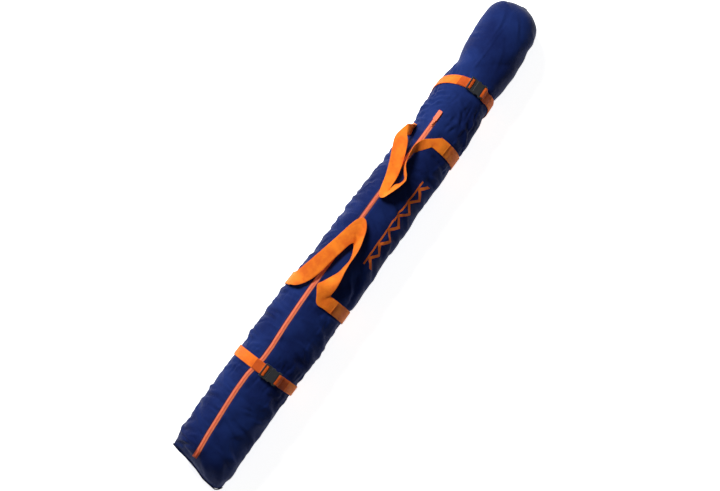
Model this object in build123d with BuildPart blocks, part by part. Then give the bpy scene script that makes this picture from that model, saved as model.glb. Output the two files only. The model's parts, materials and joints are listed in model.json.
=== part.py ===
"""A padded ski bag lying on its back, zip upwards, buckled and closed.

Row frame: +X runs from the flat bottom end to the rounded top end, +Y to the side that
the zip is nearer to, +Z up. The origin is on the floor under the middle of the bag.
"""

from build123d import *
import math
import os

# ---- driving dimensions, in millimetres ----
LENGTH = 2060
HEIGHT = 200  # of the main body, floor to top
BELLY_SHARE = 0.46  # height of the widest line, as a share of the height
# outer form: (x, width, top, height of the widest line, shift towards +Y).
# The top line is level from END_ROUND_X to the neck, and the ends close at mid-height.
HALF = LENGTH / 2
END_ROUND_X = -955
FORM = [
    (-HALF, 200, 108, 78, 0),
    (-HALF + 18, 228, 138, 80, 0),
    (-HALF + 42, 243, 170, 85, 0),
    (END_ROUND_X, 250, HEIGHT, BELLY_SHARE * HEIGHT, 0),
    (-600, 247, HEIGHT, BELLY_SHARE * HEIGHT, 0),
    (-280, 248, HEIGHT, BELLY_SHARE * HEIGHT, 0),
    (0, 237, HEIGHT, BELLY_SHARE * HEIGHT, 0),
    (300, 227, HEIGHT, BELLY_SHARE * HEIGHT, 0),
    (545, 222, HEIGHT, BELLY_SHARE * HEIGHT, 0),
    (628, 209, 192, BELLY_SHARE * 192, 0),
    (704, 209, 192, BELLY_SHARE * 192, 0),
    (756, 214, 189, BELLY_SHARE * 189, 0),
    (880, 224, 190, BELLY_SHARE * 190, 4),
    (960, 218, 184, BELLY_SHARE * 184, 8),
    (HALF - 32, 196, 168, 80, 11),
    (HALF - 12, 164, 142, 78, 13),
    (HALF, 120, 112, 74, 14),
]
# layers of the wall, from outside to inside, and the air gap that keeps them apart
SKIN = 4.0
FOAM = 5.0
LINING = 1.0
LAYER_GAP = 0.2
# seams between the panels
BOTTOM_SEAM_X = -HALF + 20
NECK_SEAM_X = 640
TOP_SEAM_X = 968
SIDE_SEAM_Z = BELLY_SHARE * HEIGHT

# zip
ZIP_Y = 41
ZIP_TILT = 18  # degrees that its normal leans towards +Y
ZIP_BOTTOM_X = -957
ZIP_TOP_X = 508
ZIP_SLOT = 18
TAPE_THICK = 1.2
TAPE_TOP = -0.8
COIL_REACH = 3.5  # from the zip's middle to the coil's outer edge
COIL_TOP = 1.2
COIL_GAP = 1.0
SLIDER_X = 456
SLIDER_LONG = 17
SLIDER_WIDE = 11
PLATE = 1.5
PULL_AXIS_Z = 4.9
PULL_LONG = 34
PULL_WIDE, PULL_THICK = 8.6, 1.6
GRIP_START, GRIP_LONG, GRIP_WIDE, GRIP_THICK = 14, 42, 16, 3.8

# webbing
HANDLE_WEB = 50
STRAP_WEB = 40
WEB = 2.2
WEB_GAP = 0.4
LOWER_BAND_X = -272
UPPER_BAND_X = 411
BAND_LEFT_Z = 140  # height at which the sewn band lets the loop go, on the zip side
BAND_RIGHT_Y = -10
LOOP_RISE = 10.5  # air under a handle loop, so that the zip slider passes
LOWER_HINGE_X = LOWER_BAND_X + 22
UPPER_HINGE_X = UPPER_BAND_X - 23
HINGE_RISE = 13.0  # height of a handle's fold line over the form, at both of its roots
ROOT_LONG = 14

# compression straps and their side-release buckles
LOWER_STRAP_X = -583
LOWER_STRAP_TURN = -1  # degrees that the strap is turned about Z, its -Y side to the bottom end
UPPER_STRAP_X = 622  # where the slanted strap crosses the belly line
UPPER_STRAP_TURN = 2
UPPER_STRAP_SLANT = 19  # degrees that its plane leans towards the top end
BUCKLE_Y = -4  # where the buckle's two halves meet
BUCKLE_CLEAR = 0.6
SOCKET_LONG, SOCKET_THICK, MOUTH_HALF = 40, 11, 18
PLUG_LONG, PLUG_THICK, PLUG_HALF = 27, 9, 25
MOUTH_GAP = 0.4
ARM_PIVOT_U, ARM_PIVOT_V = 3.5, 15
ARM_ROOT_R = 2.2
ARM_THICK = 5
PLAY = 0.3  # between pieces that move on each other
RING_END_PLUG = 31  # where the ring of webbing stops, from the mouth, on each side
RING_END_SOCKET = -50
TAIL_END = 60  # how far the two loose ends of webbing reach from the mouth
FOLD_END = -82

os.makedirs("parts", exist_ok=True)


def keep(builder, name):
    """Names a finished piece and writes its STEP file."""
    builder.part.label = name
    export_step(builder.part, f"parts/{name}.step")
    print(f"{name:28s} solids {len(builder.part.solids())}  {builder.part.volume / 1000:9.1f} cm3")


# ------------------------------------------------------------------ the bag's form
def bag_form(inset, floor_rise=None):
    """The solid inside the bag's outer surface, shrunk by inset. Its flat underside is
    raised by inset too, unless floor_rise gives another height over the bag's own."""
    raise_by = inset if floor_rise is None else floor_rise
    with BuildPart() as form:
        for x, width, top, middle, shift in FORM:
            at = max(-HALF + inset, min(HALF - inset, x))
            flat = middle - (top - middle) * BELLY_SHARE / (1 - BELLY_SHARE) + raise_by
            with BuildSketch(Plane.YZ.offset(at)):
                with Locations((shift, middle)):
                    Ellipse(width / 2 - inset, top - middle - inset)
                with Locations((0, flat - HEIGHT)):
                    Rectangle(2 * LENGTH, 2 * HEIGHT, mode=Mode.SUBTRACT)
        loft(ruled=True)
    return form.part


outer_form = bag_form(0)
skin_inside = bag_form(SKIN)
foam_outside = bag_form(SKIN + LAYER_GAP)
foam_inside = bag_form(SKIN + LAYER_GAP + FOAM)
lining_outside = bag_form(SKIN + 2 * LAYER_GAP + FOAM)
lining_inside = bag_form(SKIN + 2 * LAYER_GAP + FOAM + LINING)
# webbing lies outside the form, and is let into the underside so that the bag lies flat
web_inside = bag_form(-WEB_GAP, WEB)
web_outside = bag_form(-WEB_GAP - WEB, 0)
second_rise = WEB_GAP + WEB + 0.5  # for webbing that lies on top of webbing
second_inside = bag_form(-second_rise)
second_outside = bag_form(-second_rise - WEB + 0.2)
rise_inside = bag_form(-LOOP_RISE)
rise_outside = bag_form(-LOOP_RISE - WEB)


def surface_z(y, width):
    """Height of the main body's upper surface at y, for a section of that width."""
    middle = BELLY_SHARE * HEIGHT
    return middle + (HEIGHT - middle) * math.sqrt(1 - (2 * y / width) ** 2)


ZIP_Z = surface_z(ZIP_Y, 236)
lean = math.radians(ZIP_TILT)
zip_normal = (0, math.sin(lean), math.cos(lean))
zip_plane = Plane(origin=(0, ZIP_Y, ZIP_Z), x_dir=(1, 0, 0), z_dir=zip_normal)
zip_long = ZIP_TOP_X - ZIP_BOTTOM_X
zip_middle = (ZIP_TOP_X + ZIP_BOTTOM_X) / 2


# ------------------------------------------------------------------ wall layers
with BuildPart() as zip_opening:
    with Locations(zip_plane):
        with Locations((zip_middle, 0, -10)):
            Box(zip_long, ZIP_SLOT, 60)

with BuildPart() as web_grooves:
    slant_foot = UPPER_STRAP_X - SIDE_SEAM_Z * math.tan(math.radians(UPPER_STRAP_SLANT))
    for x, wide, turn in (
        (LOWER_STRAP_X, STRAP_WEB + 1, LOWER_STRAP_TURN),
        (LOWER_BAND_X, HANDLE_WEB + 1, 0),
        (UPPER_BAND_X, HANDLE_WEB + 1, 0),
        (slant_foot, STRAP_WEB + 6, UPPER_STRAP_TURN),
    ):
        with Locations(Location((x, 0, 0), (0, 0, turn))):
            Box(wide, 2 * HALF, 2 * (WEB + LAYER_GAP))

with BuildPart() as skin:
    add(outer_form)
    add(skin_inside, mode=Mode.SUBTRACT)
    add(zip_opening.part, mode=Mode.SUBTRACT)
    add(web_grooves.part, mode=Mode.SUBTRACT)


def skin_between(x_low, x_high, z_low, z_high):
    """The stretch of the skin inside a box that spans its whole width."""
    with BuildPart() as stretch:
        add(skin.part)
        with Locations(((x_low + x_high) / 2, 0, (z_low + z_high) / 2)):
            Box(x_high - x_low, 2 * HALF, z_high - z_low, mode=Mode.INTERSECT)
    return stretch


above, below = 2 * HEIGHT, -HEIGHT
front_panel = skin_between(BOTTOM_SEAM_X, NECK_SEAM_X, SIDE_SEAM_Z, above)
keep(front_panel, "front_panel")
back_panel = skin_between(BOTTOM_SEAM_X, NECK_SEAM_X, below, SIDE_SEAM_Z)
keep(back_panel, "back_panel")
bottom_end_panel = skin_between(-HALF - 1, BOTTOM_SEAM_X, below, above)
keep(bottom_end_panel, "bottom_end_panel")
top_extension = skin_between(NECK_SEAM_X, TOP_SEAM_X, below, above)
keep(top_extension, "top_extension")
top_end_cap = skin_between(TOP_SEAM_X, HALF + 1, below, above)
keep(top_end_cap, "top_end_cap")

with BuildPart() as foam_padding:
    add(foam_outside)
    add(foam_inside, mode=Mode.SUBTRACT)
    add(zip_opening.part, mode=Mode.SUBTRACT)
keep(foam_padding, "foam_padding")

with BuildPart() as lining:
    add(lining_outside)
    add(lining_inside, mode=Mode.SUBTRACT)
    add(zip_opening.part, mode=Mode.SUBTRACT)
keep(lining, "lining")


# ------------------------------------------------------------------ zip
def zip_half(side, y_near, y_far, z_low, z_high):
    """A straight strip of the zip, on one side of its middle line."""
    with BuildPart() as strip:
        with Locations(zip_plane):
            with Locations((zip_middle, side * (y_near + y_far) / 2, (z_low + z_high) / 2)):
                Box(zip_long, y_far - y_near, z_high - z_low)
    return strip


coil_start = zip_plane.origin + Vector(ZIP_BOTTOM_X + 6, 0, 0)
coil_plane = Plane(origin=coil_start, x_dir=zip_plane.y_dir, z_dir=(1, 0, 0))
for side, side_name in ((1, "left"), (-1, "right")):
    tape = zip_half(side, COIL_GAP / 2, ZIP_SLOT / 2, TAPE_TOP - TAPE_THICK, TAPE_TOP)
    keep(tape, f"zipper_tape_{side_name}")

    with BuildPart() as coil:
        with BuildSketch(coil_plane):
            near, far, low = COIL_GAP / 2 * side, COIL_REACH * side, TAPE_TOP
            with BuildLine():
                Polyline(
                    (near, low), (near, COIL_TOP), (far - 1.4 * side, COIL_TOP),
                    (far, low + 1.0), (far, low), close=True,
                )
            make_face()
        extrude(amount=zip_long - 12)
    keep(coil, f"zipper_coil_{side_name}")

with BuildPart() as zipper_stops:
    stop_high = COIL_TOP + 0.2 - TAPE_TOP
    with Locations(zip_plane):
        for stop_x in (ZIP_BOTTOM_X + 3, ZIP_TOP_X - 3):
            with Locations((stop_x, 0, TAPE_TOP + stop_high / 2)):
                Box(5, 10, stop_high)
keep(zipper_stops, "zipper_stops")

slider_plane = Plane(origin=(SLIDER_X, ZIP_Y, ZIP_Z), x_dir=(1, 0, 0), z_dir=zip_normal)
plate_low = COIL_TOP + 0.3
plate_top = plate_low + PLATE
under_top = TAPE_TOP - TAPE_THICK - 0.3
BRIDGE_WIDE, BRIDGE_HALF, BRIDGE_TOP = 3.4, 5.0, 7.8
with BuildPart() as zip_slider:
    with Locations(slider_plane):
        with Locations((0, 0, (plate_low + plate_top) / 2)):
            Box(SLIDER_LONG, SLIDER_WIDE, PLATE)
        with Locations((0, 0, under_top - PLATE / 2)):
            Box(SLIDER_LONG, SLIDER_WIDE, PLATE)
    fillet(zip_slider.edges().filter_by(Axis((0, 0, 0), zip_normal)), 3)
    with Locations(slider_plane):
        flange_high = plate_low - TAPE_TOP - 0.3
        for flange_side in (1, -1):
            y_flange = flange_side * (SLIDER_WIDE / 2 - 0.7)
            with Locations((0, y_flange, plate_low - flange_high / 2)):
                Box(SLIDER_LONG - 7, 1.2, flange_high)
        with Locations((SLIDER_LONG / 2 - 4.5, 0, (plate_low + under_top) / 2)):
            Box(5, COIL_GAP - 0.4, plate_low - under_top)
        with Locations((0, 0, (plate_top + BRIDGE_TOP) / 2)):
            Box(2 * BRIDGE_HALF, BRIDGE_WIDE, BRIDGE_TOP - plate_top)
        with Locations((0, 0, PULL_AXIS_Z)):
            Box(5.4, 2 * BRIDGE_WIDE, 2.6, mode=Mode.SUBTRACT)
keep(zip_slider, "zip_slider")

pull_plane = slider_plane.offset(PULL_AXIS_Z)
EYE_LONG = 7.2
with BuildPart() as zip_pull_tab:
    with BuildSketch(pull_plane.offset(-PULL_THICK / 2)):
        with Locations((PULL_LONG / 2 - 0.4, 0)):
            RectangleRounded(PULL_LONG, PULL_WIDE, 2.2)
        with Locations((EYE_LONG / 2 + 0.1, 0)):
            Rectangle(EYE_LONG, BRIDGE_WIDE + 1.2, mode=Mode.SUBTRACT)
    extrude(amount=PULL_THICK)
    with Locations(pull_plane):
        Cylinder(PULL_THICK / 2, PULL_WIDE, rotation=(90, 0, 0))
keep(zip_pull_tab, "zip_pull_tab")

with BuildPart() as zip_pull_grip:
    with BuildSketch(pull_plane.offset(-GRIP_THICK / 2)):
        with Locations((GRIP_START + GRIP_LONG / 2, 0)):
            RectangleRounded(GRIP_LONG, GRIP_WIDE, 4)
    extrude(amount=GRIP_THICK)
    fillet(zip_pull_grip.faces().sort_by(Axis(pull_plane.origin, zip_normal))[-1].edges(), 1)
    add(zip_pull_tab.part, mode=Mode.SUBTRACT)
keep(zip_pull_grip, "zip_pull_grip")


# ------------------------------------------------------------------ handles
def web_ring(x, wide, slant=0, turn=0):
    """A closed ring of webbing around the bag, its plane leaning by slant degrees about Y
    and then turned about Z."""
    with BuildPart() as ring:
        add(web_outside)
        add(web_inside, mode=Mode.SUBTRACT)
        with Locations(Location((x, 0, SIDE_SEAM_Z), (0, 0, turn)) * Location((0, 0, 0), (0, slant, 0))):
            Box(wide, 2 * HALF, 3 * HEIGHT, mode=Mode.INTERSECT)
    return ring.part


def handle_band(x, name):
    """Webbing sewn round the bag's back, open across the front between the two handle roots."""
    with BuildPart() as band:
        add(web_ring(x, HANDLE_WEB))
        top = 2 * HEIGHT
        with Locations((x, BAND_RIGHT_Y, BAND_LEFT_Z)):
            Box(
                2 * HANDLE_WEB, HALF, top,
                align=(Align.CENTER, Align.MIN, Align.MIN), mode=Mode.SUBTRACT,
            )
    keep(band, name)


handle_band(LOWER_BAND_X, "lower_handle_band")
handle_band(UPPER_BAND_X, "upper_handle_band")

# plan outlines of the two loose loops, which lie towards the middle of the bag
LOWER_LOOP = [
    (LOWER_HINGE_X, 118), (-183, 98), (-113, 82), (-35, 64), (35, 38),
    (16, 8), (-46, -20), (-117, -27), (-180, -24), (LOWER_HINGE_X, -34),
]
LOWER_HOLE = [
    (LOWER_HINGE_X - 5, 100), (-215, 72), (-160, 42), (-62, 18), (-96, -2), (-150, -2),
    (-215, 6), (LOWER_HINGE_X - 5, -8),
]
UPPER_LEG = [
    (UPPER_HINGE_X, 114), (330, 118), (275, 87), (220, 64), (152, 49), (144, 17), (193, 19),
    (268, 33), (318, 60), (UPPER_HINGE_X, 96),
]
UPPER_STRIP = [(150, 22), (182, -9), (232, -11), (269, 16), (318, 27), (350, 22), (384.5, -12)]
STRIP_WIDE = 7
STRIP_TALL = 36  # this leg of the loop stands on its edge
LOWER_ROOTS = ((100, 118), (-34, -12))  # y ranges where each loop leaves its band
UPPER_ROOTS = ((96, 114), (-20, -12))


def plan_prism(points):
    """A tall prism on a plan outline, from the widest line of the bag upwards."""
    with BuildPart() as prism:
        with BuildSketch(Plane.XY.offset(SIDE_SEAM_Z)):
            with BuildLine():
                Polyline(*points, close=True)
            make_face()
        extrude(amount=2 * HEIGHT)
    return prism.part


def handle_roots(x, direction, spans, name):
    """The two short stretches of webbing that bend where a loop leaves its band."""
    with BuildPart() as roots:
        add(rise_outside)
        add(web_outside_lifted, mode=Mode.SUBTRACT)
        middle = x + direction * (PLAY + ROOT_LONG / 2)
        with BuildPart(mode=Mode.INTERSECT):
            for low, high in spans:
                with Locations((middle, (low + high) / 2, 1.5 * HEIGHT)):
                    Box(ROOT_LONG, high - low, 2 * HEIGHT)
    keep(roots, name)


web_outside_lifted = bag_form(-WEB_GAP - WEB - LAYER_GAP)

with BuildPart() as lower_handle_loop:
    add(rise_outside)
    add(rise_inside, mode=Mode.SUBTRACT)
    add(plan_prism(LOWER_LOOP), mode=Mode.INTERSECT)
    add(plan_prism(LOWER_HOLE), mode=Mode.SUBTRACT)
keep(lower_handle_loop, "lower_handle_loop")
handle_roots(LOWER_HINGE_X, -1, LOWER_ROOTS, "lower_handle_roots")

strip_outside = bag_form(-LOOP_RISE - STRIP_TALL)
with BuildPart() as upper_strip_plan:
    with BuildSketch(Plane.XY.offset(SIDE_SEAM_Z)):
        with BuildLine():
            Polyline(*UPPER_STRIP)
        trace(line_width=STRIP_WIDE)
    extrude(amount=2 * HEIGHT)
with BuildPart() as upper_handle_strip:
    add(strip_outside)
    add(rise_inside, mode=Mode.SUBTRACT)
    add(upper_strip_plan.part, mode=Mode.INTERSECT)
with BuildPart() as upper_handle_loop:
    add(rise_outside)
    add(rise_inside, mode=Mode.SUBTRACT)
    add(plan_prism(UPPER_LEG), mode=Mode.INTERSECT)
    add(upper_handle_strip.part)
keep(upper_handle_loop, "upper_handle_loop")
handle_roots(UPPER_HINGE_X, 1, UPPER_ROOTS, "upper_handle_roots")


# ------------------------------------------------------------------ straps and buckles
class StrapSite:
    """Where a compression strap's buckle lies: u runs along the strap towards +Y, and
    heights are taken from the middle of the buckle's thickness."""

    def __init__(self, x, width, height, turn=0):
        self.middle = BELLY_SHARE * height
        self.half = width / 2 / math.cos(math.radians(turn))
        self.tall = height - self.middle
        touch_y = BUCKLE_Y + (PLUG_LONG - SOCKET_LONG) / 2
        touch, normal = self.on_form(touch_y, 0)
        self.along = Vector(0, normal.Z, -normal.Y)
        self.normal = normal
        lift = normal * (BUCKLE_CLEAR + SOCKET_THICK / 2)
        mouth = self.along * ((SOCKET_LONG - PLUG_LONG) / 2)
        self.mouth = touch + lift + mouth
        origin = Vector(x, 0, 0) + self.mouth.rotate(Axis.Z, turn)
        self.strap_dir = self.along.rotate(Axis.Z, turn)
        self.up = normal.rotate(Axis.Z, turn)
        self.plane = Plane(origin=origin, x_dir=self.strap_dir, z_dir=self.up)
        across = Vector(1, 0, 0).rotate(Axis.Z, turn)
        self.side_plane = Plane(origin=origin, x_dir=self.strap_dir, z_dir=across)

    def on_form(self, y, rise):
        """A point of the form's section lifted along its normal, and that normal."""
        z = self.tall * math.sqrt(1 - (y / self.half) ** 2)
        normal = Vector(0, y / self.half**2, z / self.tall**2).normalized()
        return Vector(0, y, self.middle + z) + normal * rise, normal

    def over(self, u, rise):
        """(u, height) of a point over the form, rise above it, at distance u from the mouth."""
        low, high = -0.98 * self.half, 0.98 * self.half
        for _ in range(40):
            y = (low + high) / 2
            point = self.on_form(y, rise)[0] - self.mouth
            if point.dot(self.along) < u:
                low = y
            else:
                high = y
        return u, point.dot(self.normal)


def webbing_run(site, points, u_low, u_high, name):
    """Webbing that follows a line of (u, height) points through a buckle, and then lies on
    top of the ring from u_low to u_high."""
    with BuildPart() as upper_layer:
        add(second_outside)
        add(second_inside, mode=Mode.SUBTRACT)
        with Locations(site.plane):
            with Locations(((u_low + u_high) / 2, 0, 0)):
                Box(u_high - u_low, STRAP_WEB - 1, 120, mode=Mode.INTERSECT)
    with BuildPart() as run:
        with BuildSketch(site.side_plane):
            with BuildLine():
                Polyline(*points)
            trace(line_width=WEB - 0.2)
        extrude(amount=STRAP_WEB / 2 - 0.5, both=True)
        add(upper_layer.part)
    keep(run, name)


def buckle_socket(site, name):
    """The half that stays: a flat box, waisted where the two arms show, with a webbing bar."""
    outline = [(0, 24), (-11, 26), (-14, 22.5), (-26, 22.5), (-29, 26), (-40, 24.5)]
    mirrored = [(u, -v) for u, v in reversed(outline)]
    with BuildPart() as socket:
        with BuildSketch(site.plane.offset(-SOCKET_THICK / 2)):
            with BuildLine():
                Polyline(*outline, *mirrored, close=True)
            make_face()
        extrude(amount=SOCKET_THICK)
        upright = socket.edges().filter_by(Axis((0, 0, 0), tuple(site.up)))
        fillet(upright, 1.5)
        ends = socket.faces().filter_by(Axis((0, 0, 0), tuple(site.up)))
        chamfer(ends.edges(), 1.0)
        with Locations(site.plane):
            pocket = ARM_THICK + 2 * PLAY
            with Locations((-13, 0, 0)):
                Box(27, 2 * MOUTH_HALF, pocket, mode=Mode.SUBTRACT)
            with Locations((-20, 0, 0)):
                Box(12.8, 80, pocket, mode=Mode.SUBTRACT)
            with Locations((-33.4, 0, 0)):
                Box(5.2, STRAP_WEB + 1, 2 * SOCKET_THICK, mode=Mode.SUBTRACT)
            for face_side in (1, -1):
                with Locations((-40, 0, face_side * (2.6 + SOCKET_THICK / 2))):
                    Box(9, STRAP_WEB + 1, SOCKET_THICK, mode=Mode.SUBTRACT)
    keep(socket, name)


def buckle_plug(site, name):
    """The half that pulls out: a centre tongue and a three-bar webbing adjuster."""
    with BuildPart() as plug:
        with Locations(site.plane):
            with Locations(((MOUTH_GAP + PLUG_LONG) / 2, 0, 0)):
                Box(PLUG_LONG - MOUTH_GAP, 2 * PLUG_HALF, PLUG_THICK)
        upright = plug.edges().filter_by(Axis((0, 0, 0), tuple(site.up)))
        fillet(upright, 2.5)
        ends = plug.faces().filter_by(Axis((0, 0, 0), tuple(site.up)))
        chamfer(ends.edges(), 0.8)
        with Locations(site.plane):
            with Locations((-9, 0, 0)):
                Box(22, 10, ARM_THICK - 0.6)
            for slot_u in (11.2, 20.8):
                with Locations((slot_u, 0, 0)):
                    Box(4.6, STRAP_WEB + 1, 2 * PLUG_THICK, mode=Mode.SUBTRACT)
            with Locations((16, 0, 1.6 + PLUG_THICK / 2)):
                Box(14, STRAP_WEB + 1, PLUG_THICK, mode=Mode.SUBTRACT)
            with Locations((24, 0, -2 - PLUG_THICK / 2)):
                Box(12, STRAP_WEB + 1, PLUG_THICK, mode=Mode.SUBTRACT)
            for arm_side in (1, -1):
                with Locations((2.8, arm_side * ARM_PIVOT_V, 0)):
                    Box(7, 2 * ARM_ROOT_R + 2.2, ARM_THICK + 2 * PLAY, mode=Mode.SUBTRACT)
    keep(plug, name)


def buckle_arm(site, arm_side, name):
    """One springy arm, with a catch that sits behind the socket's mouth."""
    outline = [
        (3.5, 17.2), (-13.6, 17.2), (-14.2, 20.6), (-16, 21), (-21, 20.2), (-25, 17.4),
        (-25, 15.6), (-12, 13.6), (3.5, 12.8),
    ]
    with BuildPart() as arm:
        with BuildSketch(site.plane.offset(-ARM_THICK / 2)):
            with BuildLine():
                Polyline(*[(u, arm_side * v) for u, v in outline], close=True)
            make_face()
            with Locations((ARM_PIVOT_U, arm_side * ARM_PIVOT_V)):
                Circle(ARM_ROOT_R)
        extrude(amount=ARM_THICK)
    keep(arm, name)


def compression_strap(name, x_belly, slant, turn, width, height):
    """One strap: the ring round the bag, its buckle, and the webbing through the buckle."""
    top_x = x_belly + (height - SIDE_SEAM_Z) * math.tan(math.radians(slant))
    site = StrapSite(top_x, width, height, turn)
    with BuildPart() as ring:
        add(web_ring(x_belly, STRAP_WEB, slant, turn))
        with Locations(zip_plane):
            with Locations((zip_middle, 0, 0)):
                Box(zip_long, 2 * COIL_REACH + 2, 2 * (COIL_TOP + PLAY), mode=Mode.SUBTRACT)
        with Locations(site.plane):
            with Locations(((RING_END_PLUG + RING_END_SOCKET) / 2, 0, 0)):
                Box(RING_END_PLUG - RING_END_SOCKET, 200, 40, mode=Mode.SUBTRACT)
    keep(ring, f"{name}_strap_ring")
    buckle_socket(site, f"{name}_buckle_socket")
    buckle_plug(site, f"{name}_buckle_plug")
    buckle_arm(site, 1, f"{name}_buckle_arm_bottom")
    buckle_arm(site, -1, f"{name}_buckle_arm_top")

    first, second = WEB_GAP + WEB / 2, second_rise + WEB / 2 - 0.1
    tail = [(11.2, -2.8), (11.3, 1.8), (13.2, 3.0), (18.8, 3.0), (20.6, 1.6), (20.9, -2.0)]
    tail += [(22.6, -3.9), (26.5, -4.6), site.over(RING_END_PLUG - 1.2, second)]
    webbing_run(site, tail, RING_END_PLUG - 2.5, TAIL_END, f"{name}_strap_tail")
    fold = [site.over(RING_END_SOCKET + 0.8, second)]
    fold += [(-43.5, 1.6), (-40.5, 3.8), (-36.5, 4.1), (-33.6, 3.2), (-33.2, 0), (-33.6, -3.2)]
    fold += [(-36.5, -4.1), (-40.5, -4.6), site.over(RING_END_SOCKET + 4, first)]
    webbing_run(site, fold, FOLD_END, RING_END_SOCKET + 2, f"{name}_strap_fold")
    print(name, "mouth", [round(c, 2) for c in site.plane.origin])
    print(name, "along", [round(c, 5) for c in site.strap_dir])
    print(name, "normal", [round(c, 5) for c in site.up])
    for arm_side in (1, -1):
        pivot = site.plane.from_local_coords((ARM_PIVOT_U, arm_side * ARM_PIVOT_V, 0))
        print(name, "arm pivot", [round(c, 2) for c in pivot])


compression_strap("lower", LOWER_STRAP_X, 0, LOWER_STRAP_TURN, 247, HEIGHT)
compression_strap("upper", UPPER_STRAP_X, UPPER_STRAP_SLANT, UPPER_STRAP_TURN, 209, 192)


def fold_line(name, x, width, roots):
    """Prints the line that a handle loop swings about, for the record."""
    ends = []
    for low, high in roots:
        site = StrapSite(x, width, HEIGHT)
        ends.append(site.on_form((low + high) / 2, HINGE_RISE)[0] + Vector(x, 0, 0))
    line = (ends[1] - ends[0]).normalized()
    print(name, "fold line from", [round(c, 1) for c in ends[0]], "along", [round(c, 5) for c in line])


fold_line("lower", LOWER_HINGE_X, 247, LOWER_ROOTS)
fold_line("upper", UPPER_HINGE_X, 225, UPPER_ROOTS)
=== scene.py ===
"""Looks of the padded ski bag: cloth body, webbing, zip, buckles, studio and camera."""
import json
import math

import bpy
import numpy as np
from mathutils import Matrix, Vector


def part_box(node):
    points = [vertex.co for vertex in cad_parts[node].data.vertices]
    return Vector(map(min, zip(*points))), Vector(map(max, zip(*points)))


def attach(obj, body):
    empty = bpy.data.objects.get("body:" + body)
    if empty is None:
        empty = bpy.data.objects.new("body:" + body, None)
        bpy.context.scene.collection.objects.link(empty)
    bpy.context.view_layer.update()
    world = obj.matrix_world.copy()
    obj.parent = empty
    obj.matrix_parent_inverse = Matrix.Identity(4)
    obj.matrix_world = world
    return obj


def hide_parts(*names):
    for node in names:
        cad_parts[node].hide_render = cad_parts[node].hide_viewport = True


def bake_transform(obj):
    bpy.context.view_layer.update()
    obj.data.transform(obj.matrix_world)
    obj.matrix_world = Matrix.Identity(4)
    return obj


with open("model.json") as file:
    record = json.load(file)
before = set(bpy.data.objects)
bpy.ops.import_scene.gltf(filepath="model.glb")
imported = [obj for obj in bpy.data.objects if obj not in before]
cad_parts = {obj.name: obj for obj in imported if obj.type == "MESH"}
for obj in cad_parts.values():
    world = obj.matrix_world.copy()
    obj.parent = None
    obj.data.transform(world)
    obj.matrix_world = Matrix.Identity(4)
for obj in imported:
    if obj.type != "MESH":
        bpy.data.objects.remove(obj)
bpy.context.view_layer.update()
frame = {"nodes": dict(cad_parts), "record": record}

JOINTS = {joint["name"]: joint for joint in frame["record"]["behaviour"]["joints"]}
MM = 0.001

# ------------------------------------------------------------------ sizes read from the CAD


def span(node, axis):
    """Lowest and highest coordinate of a CAD node on one axis."""
    low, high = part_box(node)
    return low[axis], high[axis]


zip_low_x, zip_high_x = span("zipper_tape_left", 0)
zip_y = sum(span("zipper_tape_left", 1) + span("zipper_tape_right", 1)) / 4
zip_z = (span("zipper_tape_left", 2)[0] + span("zipper_tape_right", 2)[1]) / 2 + 1.2 * MM
band_x = {side: sum(span(f"{side}_handle_band", 0)) / 2 for side in ("lower", "upper")}
WEB_RISE = 1.5 * MM  # middle of the webbing over the form
WEB_THICK = 2.2 * MM
END_RISE = 3.9 * MM  # the same for a strap's second layer
HANDLE_HALF = 25 * MM
STRAP_HALF = 19.7 * MM
END_HALF = STRAP_HALF - 0.5 * MM
BELLY = 92 * MM
FLOOR_ROUND = 5 * MM
FLOOR_SHARE = 0.852  # depth of the flat underside, as a share of the form's height over BELLY
SLANT = {"lower": 0.0, "upper": math.tan(math.radians(19))}
TURN = {}
for side in ("lower", "upper"):
    axis = JOINTS[f"{side}_buckle_pull_out"]["axis"]
    TURN[side] = -axis[0] / axis[1]
MOUNTS = {mount["name"]: mount for mount in frame["record"]["mounts"]}
BUCKLE_OVER_BELLY = 0.1
ring_x = {
    "lower": sum(span("lower_strap_ring", 0)) / 2,
    "upper": MOUNTS["upper_strap_bar"]["pos_m"][0] - SLANT["upper"] * BUCKLE_OVER_BELLY,
}

# ------------------------------------------------------------------ the bag's form
# x, reach to the zip side, reach to the other side, top, height of the widest line
STATIONS = np.array([
    (-1003, 111, 117, 102, 72), (-990, 113, 124, 138, 78), (-970, 115, 127, 170, 86),
    (-945, 120, 128, 190, 91), (-900, 126, 127, 199, 92), (-830, 124, 122, 200, 92),
    (-760, 126, 121, 200, 92), (-690, 127, 124, 200, 92), (-640, 126, 121, 199, 92),
    (-586, 123, 121, 198, 92), (-540, 123, 123, 199, 92), (-480, 125, 126, 200, 92),
    (-416, 124, 124, 200, 92), (-340, 126, 121, 200, 92), (-272, 123, 121, 199, 92),
    (-205, 121, 121, 200, 92), (-160, 114, 122, 199, 92), (-60, 114, 122, 200, 92),
    (80, 111, 120, 200, 92), (227, 107, 119, 200, 92), (330, 103, 118, 200, 92),
    (378, 92, 118, 200, 92), (411, 87, 117, 199, 92), (448, 88, 119, 200, 92),
    (486, 100, 121, 200, 92), (523, 104, 120, 200, 92),
    (570, 104, 117, 198, 92), (610, 105, 110, 194, 90), (640, 103, 106, 192, 88),
    (690, 99, 107, 191, 88), (728, 90, 111, 189, 87), (770, 103, 112, 190, 87),
    (823, 113, 110, 191, 87), (880, 116, 105, 190, 87), (937, 119, 97, 186, 85),
    (975, 116, 93, 177, 82), (1003, 105, 86, 160, 80), (1022, 87, 67, 140, 78),
    (1036, 58, 44, 116, 76), (1043, 24, 20, 90, 75),
]) * MM
LEFT, RIGHT, TOP, MIDDLE = 1, 2, 3, 4
START_X, END_X = STATIONS[0, 0], STATIONS[-1, 0]
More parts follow.
